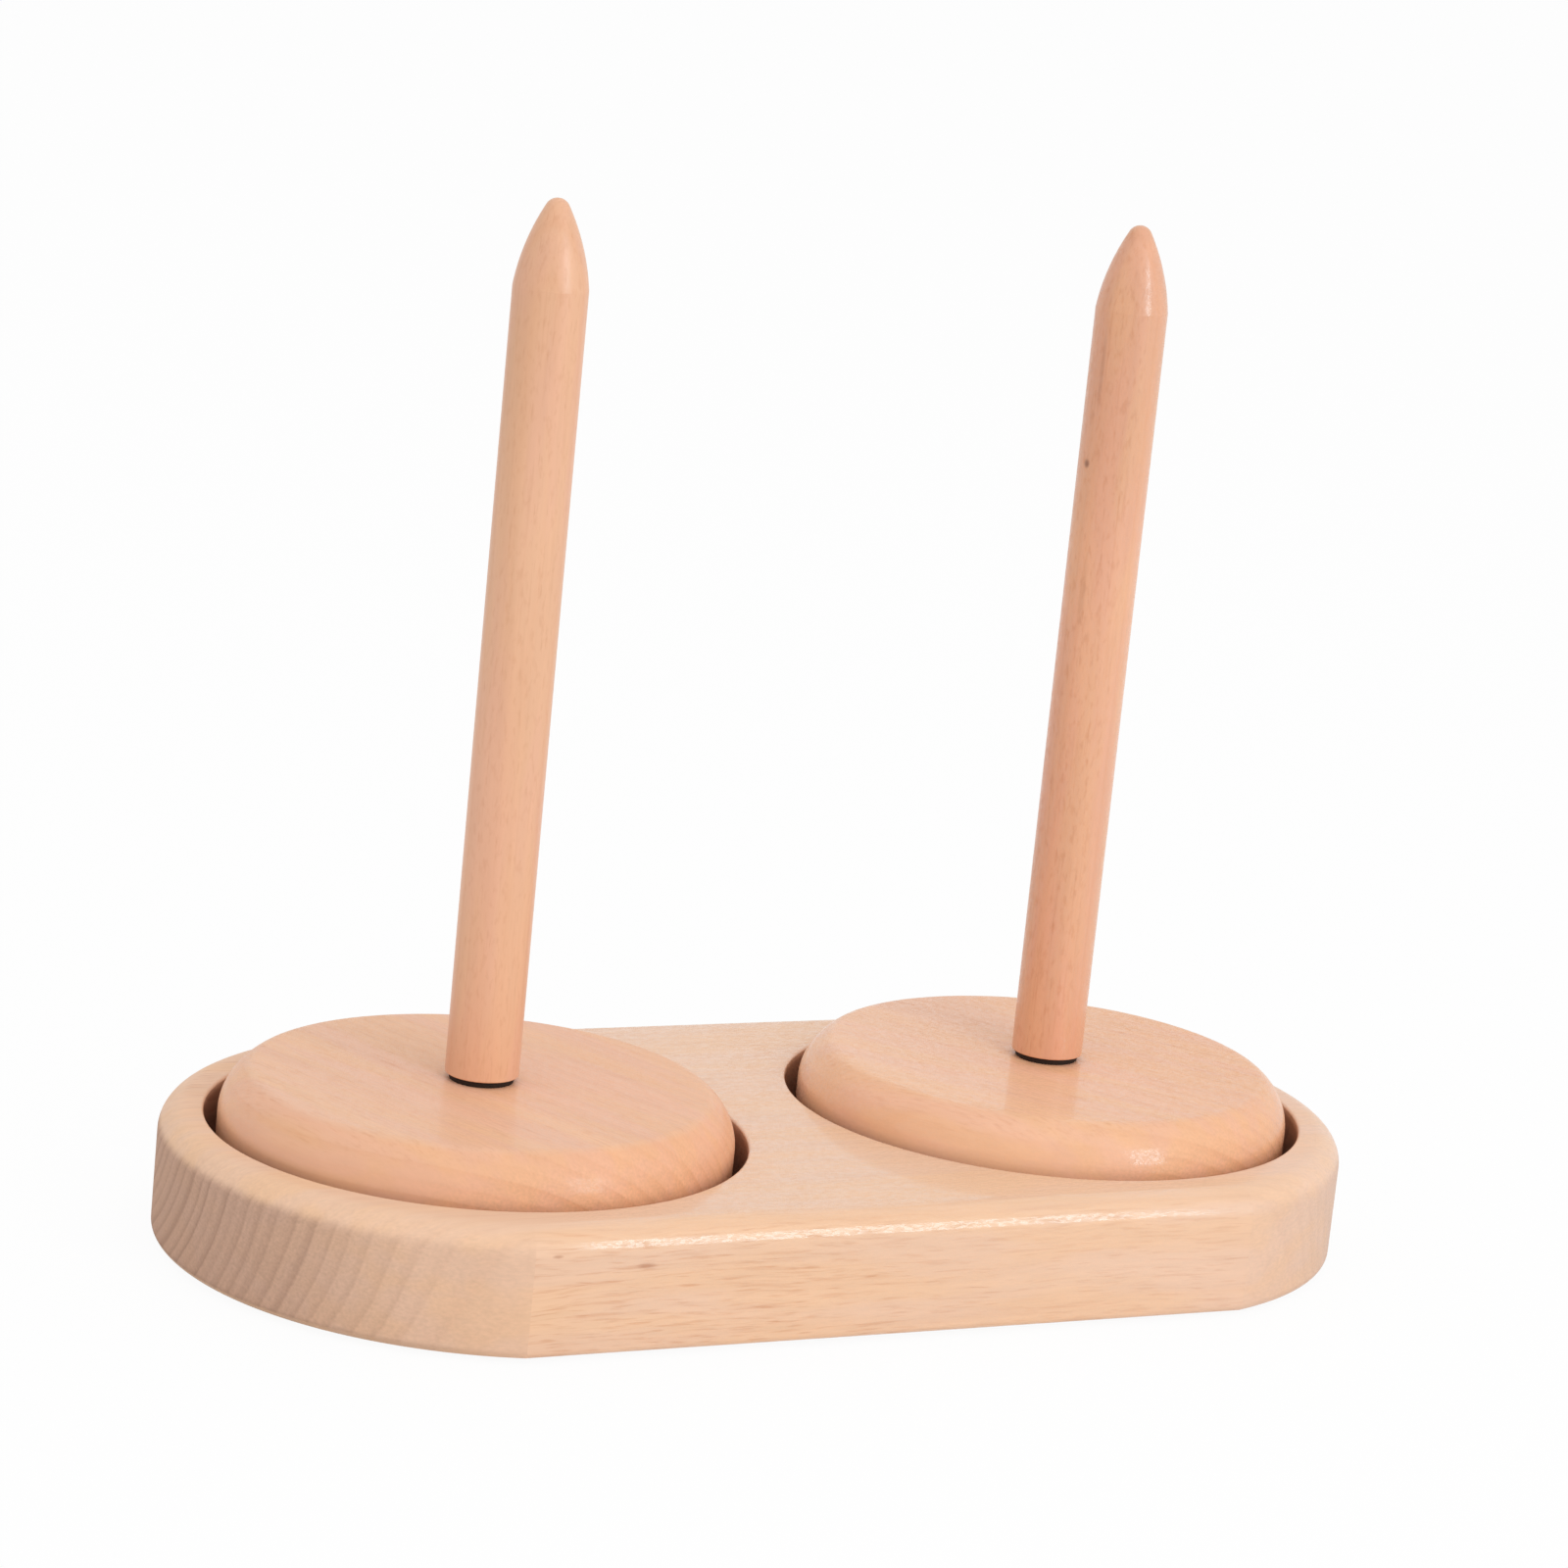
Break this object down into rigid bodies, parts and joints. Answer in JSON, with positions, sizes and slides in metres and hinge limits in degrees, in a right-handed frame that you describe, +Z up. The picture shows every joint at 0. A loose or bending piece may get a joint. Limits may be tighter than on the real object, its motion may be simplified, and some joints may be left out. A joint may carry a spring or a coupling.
{
  "type": "double yarn holder",
  "caption": "Oblong beech board with pocketed turntable discs, each carrying an upright pointed spindle post and turning freely on a ball bearing, for unwinding yarn.",
  "frame": {"origin": "on the table, under the middle of the board", "axes": "+Z up along the posts, +X along the board from the left turntable to the right one, +Y away from the user"},
  "size_m": [0.3004, 0.154, 0.25],
  "materials": {
    "board_beech": "satin",
    "turned_beech": "satin",
    "black_rubber": "matte",
    "brass": "satin",
    "zinc_steel": "satin",
    "bearing_steel": "polished",
    "shield_steel": "satin",
    "nylon": "matte"
  },
  "bodies": {
    "base": {"base_board": "board_beech", "foot_pads": "black_rubber", "left_outer_race": "bearing_steel", "left_bearing_shields": "shield_steel", "right_outer_race": "bearing_steel", "right_bearing_shields": "shield_steel"},
    "left_turntable": {"left_turntable_disc": "turned_beech", "left_spindle_post": "turned_beech", "left_post_washer": "black_rubber", "left_post_insert": "brass", "left_disc_insert": "zinc_steel", "left_hub_spacer": "zinc_steel", "left_axle_bolt": "zinc_steel", "left_bolt_shim": "zinc_steel", "left_inner_race": "bearing_steel"},
    "left_cage": {"left_bearing_balls": "bearing_steel", "left_bearing_cage": "nylon"},
    "right_turntable": {"right_turntable_disc": "turned_beech", "right_spindle_post": "turned_beech", "right_post_washer": "black_rubber", "right_post_insert": "brass", "right_disc_insert": "zinc_steel", "right_hub_spacer": "zinc_steel", "right_axle_bolt": "zinc_steel", "right_bolt_shim": "zinc_steel", "right_inner_race": "bearing_steel"},
    "right_cage": {"right_bearing_balls": "bearing_steel", "right_bearing_cage": "nylon"}
  },
  "joints": [
    {"name": "left_turntable_spin", "type": "hinge", "parent": "base", "child": "left_turntable", "pos_m": [-0.076, 0, 0.0152], "axis": [0, 0, 1], "continuous": true},
    {"name": "left_cage_spin", "type": "hinge", "parent": "base", "child": "left_cage", "pos_m": [-0.076, 0, 0.0152], "axis": [0, 0, 1], "continuous": true},
    {"name": "right_turntable_spin", "type": "hinge", "parent": "base", "child": "right_turntable", "pos_m": [0.076, 0, 0.0152], "axis": [0, 0, 1], "continuous": true},
    {"name": "right_cage_spin", "type": "hinge", "parent": "base", "child": "right_cage", "pos_m": [0.076, 0, 0.0152], "axis": [0, 0, 1], "continuous": true}
  ],
  "couplings": [
    {"joint": "left_cage_spin", "follows": "left_turntable_spin", "ratio": 0.36},
    {"joint": "right_cage_spin", "follows": "right_turntable_spin", "ratio": 0.36}
  ]
}
